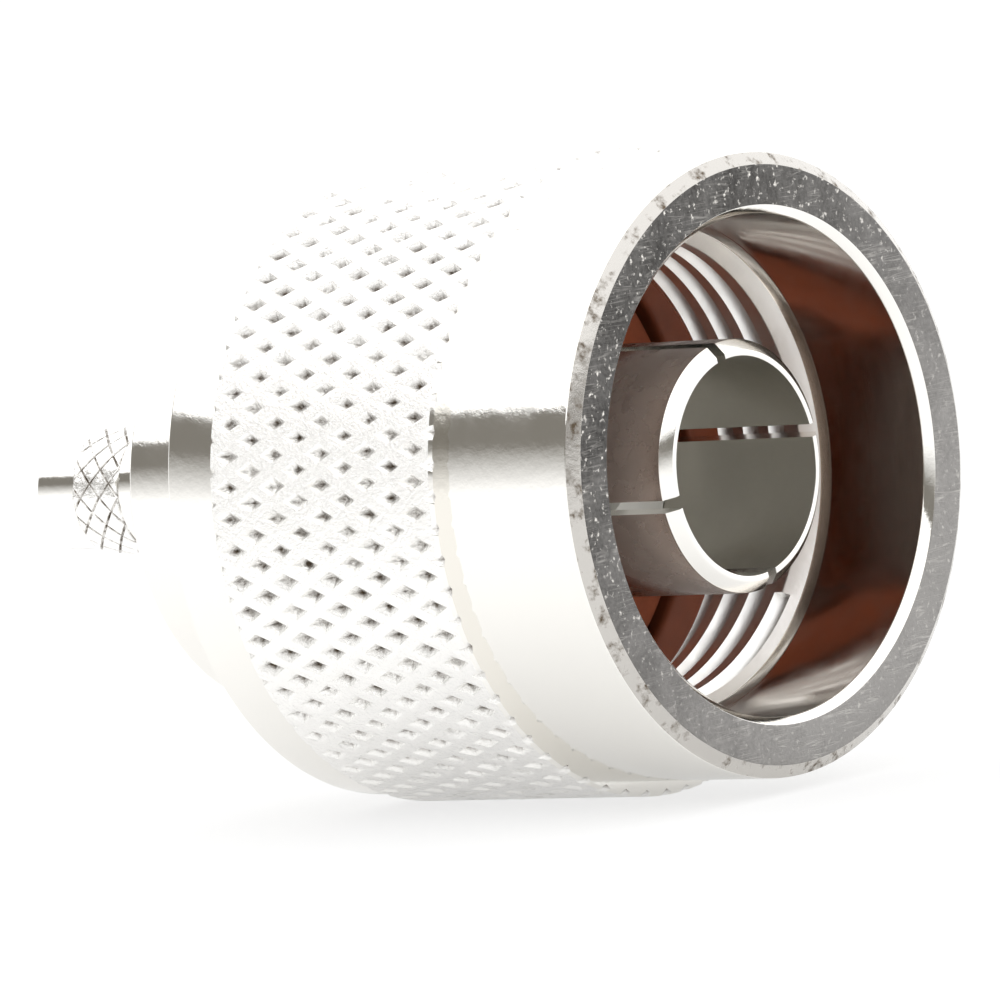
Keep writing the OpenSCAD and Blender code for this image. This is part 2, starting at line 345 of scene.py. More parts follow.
def finish_mesh(piece):
    """Shades a piece smooth between its sharp edges, and applies its place."""
    take(piece)
    bpy.ops.object.transform_apply(location=True, rotation=True, scale=True)
    bpy.ops.object.shade_smooth_by_angle(angle=SHARP_ANGLE)
    add_modifier(piece, "WEIGHTED_NORMAL", keep_sharp=True)


def cut_with(piece, tools):
    """Subtracts tool pieces and removes them."""
    for tool in tools:
        add_modifier(piece, "BOOLEAN", object=tool, operation="DIFFERENCE", solver="EXACT")
        bpy.data.objects.remove(tool)


def knurl_cell(name, half_pitch, half_width, rim_depth, steps):
    """One diamond of a knurl, flat in XZ and facing -Y, stepped inwards by (width, rise) insets."""
    deselect()
    bpy.ops.mesh.primitive_circle_add(
        vertices=4, radius=1.0, fill_type="NGON", rotation=(math.pi / 2, 0, 0)
    )
    piece = named(name)
    bpy.ops.object.transform_apply(location=False, rotation=True, scale=False)
    bpy.ops.object.mode_set(mode="EDIT")
    bpy.ops.mesh.select_all(action="SELECT")
    bpy.ops.transform.resize(value=(half_pitch, 1.0, half_width), center_override=(0, 0, 0))
    bpy.ops.transform.translate(value=(0.0, rim_depth, 0.0))
    for width, rise in steps:
        bpy.ops.mesh.inset(thickness=width, depth=rise)
    bpy.ops.object.mode_set(mode="OBJECT")
    return piece


def repeat_cell(piece, half_pitch, half_width, rows, starts):
    """Repeats a diamond over a flat sheet, each row half a diamond above the last."""
    for count, step in ((rows, (-half_pitch, 0.0, half_width)), (starts, (0.0, 0.0, 2 * half_width))):
        add_modifier(
            piece, "ARRAY", count=count, use_relative_offset=False, use_constant_offset=True,
            constant_offset_displace=step, use_merge_vertices=True, merge_threshold=WELD
        )


def stray(piece, above, below, far, seed):
    """Moves the points of a knurl's sheet that lie between two depths a little, each its own way."""
    for vertex in piece.data.vertices:
        vertex.select = above < vertex.co.y < below
    bpy.ops.object.mode_set(mode="EDIT")
    bpy.ops.transform.vertex_random(offset=far, uniform=0.4, normal=0.0, seed=seed)
    bpy.ops.object.mode_set(mode="OBJECT")


def wrap_sheet(piece, radius, front, rear, first, phase, bevel):
    """Trims a knurl's sheet to its length, lowers its ends and bends it round the axis."""
    bpy.ops.object.mode_set(mode="EDIT")
    bpy.ops.mesh.select_all(action="SELECT")
    bpy.ops.transform.translate(value=(first, 0.0, phase * radius))
    for place, facing, clear in (
        (front, 1, True), (rear, -1, True), (front - bevel, 1, False), (rear + bevel, -1, False)
    ):
        bpy.ops.mesh.select_all(action="SELECT")
        bpy.ops.mesh.bisect(
            plane_co=(place, 0, 0), plane_no=(facing, 0, 0), clear_outer=clear, threshold=WELD / 10
        )
    bpy.ops.object.mode_set(mode="OBJECT")
    for vertex in piece.data.vertices:
        if vertex.co.x > front - WELD or vertex.co.x < rear + WELD:
            vertex.co.y = max(vertex.co.y, bevel)
    places = [vertex.co.z for vertex in piece.data.vertices]
    add_modifier(
        piece, "SIMPLE_DEFORM", deform_method="BEND", deform_axis="X",
        angle=(max(places) - min(places)) / radius
    )
    bpy.ops.object.mode_set(mode="EDIT")
    bpy.ops.mesh.select_all(action="SELECT")
    bpy.ops.transform.translate(value=(0.0, -radius, 0.0))
    bpy.ops.mesh.remove_doubles(threshold=3 * WELD)
    bpy.ops.object.mode_set(mode="OBJECT")


def join_ring(piece, ring, places):
    """Joins a ring to a turned piece that is open there, and closes the gap at each end."""
    take(piece)
    ring.select_set(True)
    bpy.ops.object.join()
    for place in places:
        bpy.ops.object.mode_set(mode="EDIT")
        bpy.ops.mesh.select_mode(type="EDGE")
        bpy.ops.mesh.select_all(action="DESELECT")
        bpy.ops.mesh.select_non_manifold(
            extend=False, use_wire=False, use_multi_face=False, use_non_contiguous=False, use_verts=False
        )
        bpy.ops.object.mode_set(mode="OBJECT")
        corners = piece.data.vertices
        for line in piece.data.edges:
            if line.select and any(abs(corners[i].co.x - place) > WELD for i in line.vertices):
                line.select = False
        bpy.ops.object.mode_set(mode="EDIT")
        bpy.ops.mesh.bridge_edge_loops()
        bpy.ops.object.mode_set(mode="OBJECT")
    bpy.ops.object.mode_set(mode="EDIT")
    bpy.ops.mesh.select_mode(type="VERT")
    bpy.ops.mesh.select_all(action="SELECT")
    bpy.ops.mesh.normals_make_consistent(inside=False)
    bpy.ops.object.mode_set(mode="OBJECT")


def dress(piece, body, node, materials):
    """Gives a piece its materials, hangs it on its body and hides the CAD part that it stands for."""
    piece.data.materials.clear()
    for material in materials:
        piece.data.materials.append(material)
    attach(piece, body)
    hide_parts(node)


def paint(piece, index, wanted):
    """Gives a material to the faces that wanted(place along X, radius, normal) picks."""
    for face in piece.data.polygons:
        centre = face.center
        if wanted(centre.x, math.hypot(centre.y, centre.z), face.normal):
            face.material_index = index


# ---------------------------------------------------------------- the nut


def nut_section(nut, thread):
    """Outline of the nut from the knurl's front end, through the mouth, to the knurl's rear end."""
    front, rear = nut_high.x, nut_low.x
    knurl_front = front - nut.front_band_length
    knurl_rear = rear + nut.rear_band_length
    shoulder = body_high.x - bpy.context.scene.plug_body.flange_length - nut.play
    mouth_end = front - nut.mouth_depth
    ring_front, ring_rear = rear + nut.ring_front, rear + nut.ring_rear
    ring_groove = nut.bore / 2 + nut.ring_depth
    return [
        (knurl_front, nut.front_band / 2),
        (front - nut.face_bevel_length, nut.front_band / 2),
        (front, nut.front_band / 2 - nut.face_bevel),
        (front, nut.mouth / 2 + nut.lip_bevel),
        (front - nut.lip_bevel, nut.mouth / 2),
        (mouth_end, nut.mouth / 2),
        (mouth_end - thread.bevel_length, nut.mouth / 2 - thread.bevel),
        (mouth_end - thread.bevel_length - thread.lead_in, thread.minor / 2),
        (front - thread.last, thread.minor / 2),
        (front - thread.last, nut.relief / 2),
        (shoulder, nut.relief / 2),
        (shoulder, nut.bore / 2),
        (ring_front, nut.bore / 2),
        (ring_front, ring_groove),
        (ring_rear, ring_groove),
        (ring_rear, nut.bore / 2),
        (rear + nut.rear_bevel, nut.bore / 2),
        (rear, nut.bore / 2 + nut.rear_bevel),
        (rear, nut.rear_band / 2 - nut.rear_bevel),
        (rear + nut.rear_bevel, nut.rear_band / 2),
        (knurl_rear, nut.rear_band / 2),
    ]


def thread_tap(thread):
    """The solid that cuts the thread: a V section wound along a right-hand helix."""
    depth = (thread.major - thread.minor) / 2
    half = (thread.pitch - thread.crest) / 2
    past = 0.25  # how far the tool's flanks run on inwards, as a share of the groove's depth
    tip = 0.06 * half
    start = nut_high.x - thread.first
    turns = math.ceil((thread.last - thread.first) / thread.pitch) + 1
    low = thread.minor / 2 - past * depth
    wide = half * (1 + past)
    tap = draw_section(
        "thread_tap",
        [(start - wide, low), (start - tip, thread.major / 2),
         (start + tip, thread.major / 2), (start + wide, low)],
    )
    bpy.ops.object.mode_set(mode="OBJECT")
    add_modifier(
        tap, "SCREW", axis="X", angle=-FULL_TURN, screw_offset=-thread.pitch, iterations=turns,
        steps=128, render_steps=128
    )
    bpy.ops.object.mode_set(mode="EDIT")
    bpy.ops.mesh.select_all(action="SELECT")
    bpy.ops.mesh.fill_holes(sides=0)
    bpy.ops.mesh.normals_make_consistent(inside=False)
    bpy.ops.transform.rotate(value=-thread.start, orient_axis="X", center_override=(0, 0, 0))
    bpy.ops.object.mode_set(mode="OBJECT")
    return tap


class PLUG_OT_coupling_nut(bpy.types.Operator):
    """Models the knurled coupling nut with its helical thread"""

    bl_idname = "plug.coupling_nut"
    bl_label = "Coupling nut"

    def execute(self, context):
        scene = context.scene
        nut, thread, knurl = scene.plug_nut, scene.plug_thread, scene.plug_nut_knurl
        knurl_front = nut_high.x - nut.front_band_length
        knurl_rear = nut_low.x + nut.rear_band_length
        radius = nut_high.z
        piece = turn(draw_section("knurled_nut", nut_section(nut, thread), closed=False, edge=nut.edge))
        half_pitch, half_width = knurl.pitch / 2, math.pi * radius / knurl.starts
        wall = (
            half_pitch * half_width / math.hypot(half_pitch, half_width)
            - knurl.land / 2 - knurl.lip - knurl.floor / 2
        )
        cell = knurl_cell(
            "nut_knurl", half_pitch, half_width, 0.0,
            [(knurl.land / 2, 0.0), (knurl.lip, -knurl.lip_depth), (wall, knurl.lip_depth - knurl.depth)],
        )
        rows = math.ceil((knurl_front - knurl_rear) / half_pitch) + 2
        repeat_cell(cell, half_pitch, half_width, rows, knurl.starts)
        stray(cell, WELD, knurl.lip_depth + WELD, knurl.rough / 3, 3)
        stray(cell, knurl.lip_depth + WELD, knurl.depth + WELD, knurl.rough, 4)
        wrap_sheet(
            cell, radius, knurl_front, knurl_rear, knurl_front - knurl.first_row + half_pitch,
            knurl.phase, knurl.bevel
        )
        join_ring(piece, cell, (knurl_front, knurl_rear))
        cut_with(piece, [thread_tap(thread)])
        finish_mesh(piece)
        dress(piece, "nut", "coupling_nut", [
            polished_nickel(), knurled_nickel(), worn_face(),
            turned_nickel(), threaded_nickel(), worn_bevel(),
        ])
        face = nut_high.x - 0.02 * MM
        rim = nut.front_band / 2 - nut.face_bevel
        rim_rear = nut_high.x - nut.face_bevel_length
        lip = nut_high.x - nut.lip_bevel
        inside = nut.mouth / 2 + 0.01 * MM
        outside = (nut.relief + nut.front_band) / 4
        thread_front = nut_high.x - nut.mouth_depth - thread.bevel_length
        thread_rear = nut_high.x - thread.last
        root = thread.major / 2 + WELD
        paint(piece, 1, lambda x, r, n: knurl_rear < x < knurl_front and r > outside and abs(n.x) < 0.7)
        paint(piece, 2, lambda x, r, n: x > face and n.x > 0.9 and r < rim)
        paint(piece, 3, lambda x, r, n: r < inside and x < lip)
        paint(piece, 4, lambda x, r, n: thread_rear < x < thread_front and r < root)
        paint(piece, 5, lambda x, r, n: x > rim_rear and 0.3 < n.x < 0.9 and r > rim)
        return {"FINISHED"}


# ---------------------------------------------------------------- the body


def body_section(body, band_front):
    """Outline of the body from the stem's knurl, round the tip and the bore, to the knurl's front end."""
    flange_rear = body_high.x - body.flange_length
    barrel_rear = -body.barrel_end
    stem_rear = barrel_rear - body.stem_length
    groove_front, groove_rear = nut_low.x + body.ring_front, nut_low.x + body.ring_rear
    groove = body.barrel / 2 - body.ring_depth
    core = body.stem / 2 - body.under_knurl
    return [
        (stem_rear, core),
        (stem_rear, body.tip / 2),
        (body_low.x, body.tip / 2),
        (body_low.x, body.bore / 2),
        (-body.chamber_end - (body.chamber - body.bore) / 2, body.bore / 2),
        (-body.chamber_end, body.chamber / 2),
        (-body.seat_end, body.chamber / 2),
        (-body.seat_end, body.seat / 2),
        (body_high.x, body.seat / 2),
        (body_high.x, body_high.z),
        (flange_rear, body_high.z),
        (flange_rear, body.barrel / 2),
        (groove_front, body.barrel / 2),
        (groove_front, groove),
        (groove_rear, groove),
        (groove_rear, body.barrel / 2),
        (barrel_rear + body.barrel_bevel, body.barrel / 2),
        (barrel_rear, body.barrel / 2 - body.barrel_bevel),
        (barrel_rear, body.neck / 2),
        (band_front, body.neck / 2),
        (band_front, core),
    ]


class PLUG_OT_body(bpy.types.Operator):
    """Models the turned body with its knurled crimp stem"""

    bl_idname = "plug.body"
    bl_label = "Body and crimp stem"

    def execute(self, context):
        body, knurl = context.scene.plug_body, context.scene.plug_stem_knurl
        rear = -body.barrel_end - body.stem_length
        front = rear + knurl.band
        radius = body.stem / 2
        piece = turn(draw_section("turned_body", body_section(body, front), closed=False, edge=body.edge))
        half_pitch, half_width = knurl.pitch / 2, math.pi * radius / knurl.starts
        cell = knurl_cell(
            "stem_knurl", half_pitch, half_width, knurl.depth,
            [(knurl.groove / 2, 0.0), (knurl.side, 0.7 * knurl.depth), (knurl.crown, 0.3 * knurl.depth)],
        )
        rows = math.ceil((front - rear) / half_pitch) + 2
        repeat_cell(cell, half_pitch, half_width, rows, knurl.starts)
        stray(cell, -WELD, knurl.depth - WELD, knurl.rough, 5)
        wrap_sheet(cell, radius, front, rear, front + half_pitch, 0.0, knurl.bevel)
        join_ring(piece, cell, (front, rear))
        finish_mesh(piece)
        dress(piece, "plug_body", "body", [polished_nickel(), stem_nickel()])
        core = radius - body.under_knurl
        paint(piece, 1, lambda x, r, n: rear + WELD < x < front - WELD and r > core - WELD)
        return {"FINISHED"}


# ---------------------------------------------------------------- contact and gasket


def contact_section(contact):
    """Outline of the outer contact."""
    bore, outside = contact.bore / 2, contact.outside / 2
    root_front = contact_low.x + contact.root_length
    return [
        (0.0, bore),
        (0.0, bore + contact.front_edge),
        (-contact.bevel_length, outside),
        (root_front, outside),
        (root_front, contact_high.z),
        (contact_low.x, contact_high.z),
        (contact_low.x, contact.collar / 2),
        (contact_low.x + contact.collar_length, contact.collar / 2),
        (contact_low.x + contact.collar_length, bore),
    ]


class PLUG_OT_outer_contact(bpy.types.Operator):
    """Models the slotted outer contact"""

    bl_idname = "plug.outer_contact"
    bl_label = "Outer contact"

    def execute(self, context):
        contact = context.scene.plug_contact
        piece = turn(draw_section("slotted_contact", contact_section(contact), edge=contact.edge))
        past = 0.5 * MM
        saws = []
        for slot in range(contact.slots):
            deselect()
            bpy.ops.mesh.primitive_cube_add(
                size=1.0, location=((past - contact.slot_length) / 2, 0, 0),
                rotation=(contact.slot_turn + slot * math.pi / contact.slots, 0, 0),
                scale=(contact.slot_length + past, contact.outside + past, contact.slot_width)
            )
            saws.append(named("slot_saw"))
        cut_with(piece, saws)
        finish_mesh(piece)
        dress(piece, "plug_body", "outer_contact", [
            contact_plate(), dull_bore(), tarnished_plate()
        ])
        inside = contact.bore / 2 + contact.edge
        outside = contact.outside / 2 - contact.edge
        paint(piece, 1, lambda x, r, n: r < inside and abs(n.x) < 0.5)
        paint(piece, 2, lambda x, r, n: r > outside and x < -contact.bevel_length)
        return {"FINISHED"}


class PLUG_OT_gasket(bpy.types.Operator):
    """Models the rubber gasket"""

    bl_idname = "plug.gasket"
    bl_label = "Gasket"

    def execute(self, context):
        sizes = context.scene.plug_gasket
        rear, front = gasket_low.x, gasket_high.x
        outside, hole = gasket_high.z, sizes.hole / 2
        outline = [(rear, hole), (front, hole), (front, outside), (rear, outside)]
        piece = turn(draw_section("seal_ring", outline, edge=sizes.corner))
        finish_mesh(piece)
        dress(piece, "plug_body", "gasket", [rubber()])
        return {"FINISHED"}


class PLUG_OT_inner_pieces(bpy.types.Operator):
    """Gives the insulator and the retaining ring their finishes"""

    bl_idname = "plug.inner_pieces"
    bl_label = "Insulator and retaining ring"

    def execute(self, context):
        for node, material in (("insulator", white_plastic()), ("retaining_ring", bronze())):
            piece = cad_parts[node]
            piece.data.materials.clear()
            piece.data.materials.append(material)
        return {"FINISHED"}


# ---------------------------------------------------------------- materials


def blank_material(name, base, metallic=1.0):
    """A new material: its node tree, its shader and its Object coordinate."""
    material = bpy.data.materials.new(name)
    material.use_nodes = True
    tree = material.node_tree
    shader = tree.nodes["Principled BSDF"]
    shader.inputs["Base Color"].default_value = (*base, 1.0)
    shader.inputs["Metallic"].default_value = metallic
    place = tree.nodes.new("ShaderNodeTexCoord")
    return material, tree, shader, place.outputs["Object"]


def kept(build):
    """Builds a material or a node group once and hands out the same one afterwards."""
    made = {}

    def once():
        if build not in made:
            made[build] = build()
        return made[build]

    return once


def noise(tree, vector, scale, detail=4.0, roughness=0.5):
    """A noise texture's value on a vector. The scale is a number or a socket."""
    texture = tree.nodes.new("ShaderNodeTexNoise")
    feed(tree, scale, texture.inputs["Scale"])
    texture.inputs["Detail"].default_value = detail
    texture.inputs["Roughness"].default_value = roughness
    tree.links.new(vector, texture.inputs["Vector"])
    return texture.outputs["Fac"]


def feed(tree, value, socket):
    """Links a socket, or sets a plain number or colour."""
    if isinstance(value, bpy.types.NodeSocket):
        tree.links.new(value, socket)
    else:
        socket.default_value = value


def spread(tree, value, low, high, out_low=0.0, out_high=1.0):
    """Maps a value from one range to another, clamped."""
    node = tree.nodes.new("ShaderNodeMapRange")
    for name, number in (("From Min", low), ("From Max", high), ("To Min", out_low), ("To Max", out_high)):
        feed(tree, number, node.inputs[name])
    tree.links.new(value, node.inputs["Value"])
    return node.outputs["Result"]


def calculate(tree, operation, first, second, clamp=True):
    """A Math node on two values or numbers, clamped to 0 and 1 unless told otherwise."""
    node = tree.nodes.new("ShaderNodeMath")
    node.operation = operation
    node.use_clamp = clamp
    feed(tree, first, node.inputs[0])
    feed(tree, second, node.inputs[1])
    return node.outputs["Value"]


def blend_colours(tree, factor, first, second):
    """A mix of two colours, each plain or a socket."""
    node = tree.nodes.new("ShaderNodeMix")
    node.data_type = "RGBA"
    feed(tree, factor, node.inputs["Factor"])
    for value, socket in ((first, node.inputs["A"]), (second, node.inputs["B"])):
        feed(tree, value if isinstance(value, bpy.types.NodeSocket) else (*value, 1.0), socket)
    return node.outputs["Result"]


def stretch(tree, vector, about_x, scale):
    """A vector turned about X and scaled."""
    node = tree.nodes.new("ShaderNodeMapping")
    node.inputs["Rotation"].default_value = (about_x, 0.0, 0.0)
    node.inputs["Scale"].default_value = scale
    tree.links.new(vector, node.inputs["Vector"])
    return node.outputs["Vector"]


def bump(tree, shader, height, distance):
    """Feeds a height to a shader's normal."""
    node = tree.nodes.new("ShaderNodeBump")
    node.inputs["Distance"].default_value = distance
    tree.links.new(height, node.inputs["Height"])
    tree.links.new(node.outputs["Normal"], shader.inputs["Normal"])


def new_group(name, inputs, output):
    """A shader node group with number inputs, beside its vector, and one output."""
    group = bpy.data.node_groups.new(name, "ShaderNodeTree")
    group.interface.new_socket("Vector", in_out="INPUT", socket_type="NodeSocketVector")
    for label in inputs:
        group.interface.new_socket(label, in_out="INPUT", socket_type="NodeSocketFloat")
    group.interface.new_socket(output, in_out="OUTPUT", socket_type="NodeSocketFloat")
    return group, group.nodes.new("NodeGroupInput").outputs, group.nodes.new("NodeGroupOutput").inputs


def place_group(tree, group, vector, **values):
    """Places a node group in a material with its own values, and gives its output."""
    node = tree.nodes.new("ShaderNodeGroup")
    node.node_tree = group
    tree.links.new(vector, node.inputs["Vector"])
    for label, value in values.items():
        feed(tree, value, node.inputs[label])
    return node.outputs[0]


@kept
def grain_group():
    """Uneven grain, as in plated, moulded or worn surfaces."""
    group, enter, leave = new_group("surface_grain", ["Scale", "Low", "High"], "Grain")
    value = noise(group, enter["Vector"], enter["Scale"], 6.0, 0.6)
    group.links.new(spread(group, value, enter["Low"], enter["High"]), leave["Grain"])
    return group


@kept
def scratch_group():
    """Fine scratches that cross in three directions and come and go in patches."""
    group, enter, leave = new_group("crossed_scratches", ["Scale", "Width"], "Scratches")
    lines = None
    for turned in (0.25, 1.35, 2.3):
        long_way = stretch(group, enter["Vector"], turned, (1.0, 0.05, 1.0))
        value = calculate(group, "SUBTRACT", noise(group, long_way, enter["Scale"], 1.0), 0.5, clamp=False)
        line = spread(group, calculate(group, "ABSOLUTE", value, 0.0), 0.0, enter["Width"], 1.0, 0.0)
        lines = line if lines is None else calculate(group, "MAXIMUM", lines, line)
    wide = calculate(group, "MULTIPLY", enter["Scale"], 0.3, clamp=False)
    patches = spread(group, noise(group, enter["Vector"], wide, 2.0), 0.45, 0.65)
    group.links.new(calculate(group, "MULTIPLY", lines, patches), leave["Scratches"])
    return group


@kept
def recess_group():
    """How deep a point of a knurl lies, from 0 on its lands to 1 on its floor."""
    group, enter, leave = new_group("depth_in_knurl", ["Land", "Floor"], "Recess")
    across = stretch(group, enter["Vector"], 0.0, (0.0, 1.0, 1.0))
    radius = group.nodes.new("ShaderNodeVectorMath")
    radius.operation = "LENGTH"
    group.links.new(across, radius.inputs[0])
    depth = spread(group, radius.outputs["Value"], enter["Floor"], enter["Land"], 1.0, 0.0)
    group.links.new(depth, leave["Recess"])
    return group


def grain(tree, place, scale, low, high):
    """Places the grain group."""
    return place_group(tree, grain_group(), place, Scale=scale, Low=low, High=high)


def scratches(tree, place, scale, width):
    """Places the scratch group."""
    return place_group(tree, scratch_group(), place, Scale=scale, Width=width)


def recess(tree, place, land, floor):
    """Places the recess group."""
    return place_group(tree, recess_group(), place, Land=land, Floor=floor)


def haze(tree, shader, place, scale, smooth, rough, low=0.3):
    """Lets a surface's roughness wander between two values."""
    value = spread(tree, grain(tree, place, scale, low, 0.7), 0.0, 1.0, smooth, rough)
    tree.links.new(value, shader.inputs["Roughness"])


@kept
def polished_nickel():
    """Bright plate with a faint haze and unevenness."""
    finish = bpy.context.scene.plug_finish
    material, tree, shader, place = blank_material("polished_nickel", finish.nickel)
    haze(tree, shader, place, 900, 0.05, 0.12, low=0.35)
    bump(tree, shader, grain(tree, place, 3200, 0.2, 0.8), 0.0022 * MM)
    return material


def knurled_plate(name, land, depth, height):
    """Bright plate over a knurl, pricked with fine marks, with painted shade darkening its recesses."""
    finish = bpy.context.scene.plug_finish
    material, tree, shader, place = blank_material(name, finish.bright_plate)
    # Painted shade: the deeper a point lies in the knurl, the further its plate is darkened towards the
    # dark knurl colour, broken up by grain.
    deep = recess(tree, place, land - 0.3 * depth, land - 0.9 * depth)
    dirt_and_shade = calculate(tree, "MULTIPLY", deep, grain(tree, place, 3800, 0.35, 0.6))
    plate = blend_colours(tree, dirt_and_shade, finish.bright_plate, finish.dirt_and_pit_shade)
    tree.links.new(plate, shader.inputs["Base Color"])
    tree.links.new(spread(tree, dirt_and_shade, 0.0, 1.0, 0.1, 0.5), shader.inputs["Roughness"])
    bump(tree, shader, grain(tree, place, 8000, 0.25, 0.75), height)
    return material


@kept
def knurled_nickel():
    """The nut's knurl."""
    knurl = bpy.context.scene.plug_nut_knurl
    return knurled_plate("knurled_nickel", nut_high.z, knurl.depth, 0.03 * MM)


@kept
def stem_nickel():
    """The crimp stem's knurl."""
    scene = bpy.context.scene
    return knurled_plate("stem_nickel", scene.plug_body.stem / 2, scene.plug_stem_knurl.depth, 0.012 * MM)


@kept
def worn_face():
    """The nut's dull front face: dark at its upper left, paler at its lower right, with fine marks."""
    finish = bpy.context.scene.plug_finish
    material, tree, shader, place = blank_material("worn_face", finish.worn_face)
    split = tree.nodes.new("ShaderNodeSeparateXYZ")
    tree.links.new(stretch(tree, place, math.radians(-37), (1.0, 1.0, 1.0)), split.inputs["Vector"])
    pale = spread(tree, split.outputs["Z"], 7 * MM, -8 * MM, 0.0, 0.8)
    fine = grain(tree, place, 6500, 0.3, 0.7)
    blotches = grain(tree, place, 800, 0.35, 0.7)
    mottle = calculate(tree, "MULTIPLY", calculate(tree, "ADD", fine, blotches, clamp=False), 0.25)
    base = blend_colours(tree, calculate(tree, "ADD", mottle, pale), finish.dark_face, finish.worn_face)
    lines = scratches(tree, place, 3600, 0.018)
    nicks = calculate(
        tree, "MULTIPLY", grain(tree, place, 4600, 0.58, 0.7), spread(tree, pale, 0.0, 0.6, 1.0, 0.3)
    )
    marks = calculate(tree, "MAXIMUM", calculate(tree, "MULTIPLY", lines, 0.25), nicks)
    tree.links.new(blend_colours(tree, marks, base, finish.bright_grain), shader.inputs["Base Color"])
    tree.links.new(spread(tree, marks, 0.0, 1.0, 0.45, 0.25), shader.inputs["Roughness"])
    bump(tree, shader, calculate(tree, "SUBTRACT", fine, lines, clamp=False), 0.012 * MM)
    return material


@kept
def worn_bevel():
    """The worn bevel around the front face, mottled with dirt."""
    finish = bpy.context.scene.plug_finish
    material, tree, shader, place = blank_material("worn_bevel", finish.worn_bevel)
    patches, specks = grain(tree, place, 1800, 0.52, 0.64), grain(tree, place, 6000, 0.3, 0.6)
    dirt_and_shade = calculate(tree, "MULTIPLY", patches, specks)
    tree.links.new(blend_colours(tree, dirt_and_shade, finish.worn_bevel, finish.dirt_and_pit_shade), shader.inputs["Base Color"])
    tree.links.new(spread(tree, dirt_and_shade, 0.0, 1.0, 0.25, 0.5), shader.inputs["Roughness"])
    bump(tree, shader, grain(tree, place, 4000, 0.25, 0.75), 0.008 * MM)
    return material


@kept
def turned_nickel():
    """Plate in the mouth, with fine turning marks."""
    finish = bpy.context.scene.plug_finish
    material, tree, shader, place = blank_material("turned_nickel", finish.mouth)
    rings = noise(tree, stretch(tree, place, 0.0, (1.0, 0.01, 0.01)), 14000, 2.0)
    haze(tree, shader, place, 700, 0.1, 0.2, low=0.35)
    bump(tree, shader, rings, 0.001 * MM)
    return material


@kept
def threaded_nickel():
    """Satin plate on the thread."""
    finish = bpy.context.scene.plug_finish
    material, tree, shader, place = blank_material("threaded_nickel", finish.bright_plate)
    haze(tree, shader, place, 1500, 0.3, 0.42)
    bump(tree, shader, grain(tree, place, 6000, 0.2, 0.8), 0.003 * MM)
    return material


@kept
def contact_plate():
    """Plate of the outer contact's front, a little duller than the nut's."""
    finish = bpy.context.scene.plug_finish
    material, tree, shader, place = blank_material("contact_plate", finish.nickel)
    haze(tree, shader, place, 1200, 0.1, 0.2, low=0.35)
    bump(tree, shader, grain(tree, place, 3000, 0.2, 0.8), 0.002 * MM)
    return material


@kept
def tarnished_plate():
    """Tarnished plate on the outside of the outer contact's fingers, with faint long scratches."""
    finish = bpy.context.scene.plug_finish
    material, tree, shader, place = blank_material("tarnished_plate", finish.tarnish)
    haze(tree, shader, place, 1200, 0.2, 0.34)
    bump(tree, shader, scratches(tree, place, 1500, 0.015), 0.0015 * MM)
    return material


@kept
def dull_bore():
    """Dull plate in the contact's bore."""
    finish = bpy.context.scene.plug_finish
    material, tree, shader, place = blank_material("dull_bore", finish.dull_bore)
    haze(tree, shader, place, 1500, 0.34, 0.5)
    bump(tree, shader, grain(tree, place, 6000, 0.2, 0.8), 0.003 * MM)
    return material


@kept
def rubber():
    """Red-brown silicone rubber with a faint mottle."""
    finish = bpy.context.scene.plug_finish
    material, tree, shader, place = blank_material("silicone_rubber", finish.rubber, 0.0)
    shader.inputs["Roughness"].default_value = 0.45
    shade = tuple(0.75 * part for part in finish.rubber)
    mottle = blend_colours(tree, grain(tree, place, 1500, 0.3, 0.7), shade, finish.rubber)
    tree.links.new(mottle, shader.inputs["Base Color"])
    bump(tree, shader, grain(tree, place, 9000, 0.2, 0.8), 0.004 * MM)
    return material


@kept
def bronze():
    """Satin phosphor bronze."""
    finish = bpy.context.scene.plug_finish
    material, tree, shader, place = blank_material("spring_bronze", finish.bronze)
    haze(tree, shader, place, 1200, 0.22, 0.38)
    bump(tree, shader, scratches(tree, place, 900, 0.02), 0.003 * MM)
    return material


@kept
def white_plastic():
    """White fluoropolymer, faintly waxy."""
    finish = bpy.context.scene.plug_finish
    material, tree, shader, place = blank_material("fluoropolymer", finish.white_plastic, 0.0)
    haze(tree, shader, place, 1200, 0.38, 0.52)
    bump(tree, shader, grain(tree, place, 7000, 0.2, 0.8), 0.003 * MM)
    return material


# ---------------------------------------------------------------- stage


def light_room(stage):
    """World: white all round, apart from a low dark wall on the side of -Y, which fades out below."""
    world = bpy.data.worlds.new("studio")
    bpy.context.scene.world = world
    world.use_nodes = True
    tree = world.node_tree
    place = tree.nodes.new("ShaderNodeTexCoord")
    split = tree.nodes.new("ShaderNodeSeparateXYZ")
    tree.links.new(place.outputs["Generated"], split.inputs["Vector"])
    top, blur = math.sin(stage.wall_top), 0.006
    under = spread(tree, split.outputs["Z"], top - blur, top + blur, 1.0, 0.0)
    over = spread(tree, split.outputs["Z"], 0.0, 0.6 * top, 0.2, 1.0)
    side = spread(tree, split.outputs["Y"], -0.1, 0.25, 1.0, 0.0)
    wall = calculate(tree, "MULTIPLY", calculate(tree, "MULTIPLY", under, over), side)
    room = blend_colours(tree, wall, (stage.ceiling, stage.ceiling, stage.ceiling), tuple(stage.wall))
    seen = tree.nodes.new("ShaderNodeLightPath")
    clean = blend_colours(tree, seen.outputs["Is Camera Ray"], room, (1.0, 1.0, 1.0))
    tree.links.new(clean, tree.nodes["Background"].inputs["Color"])


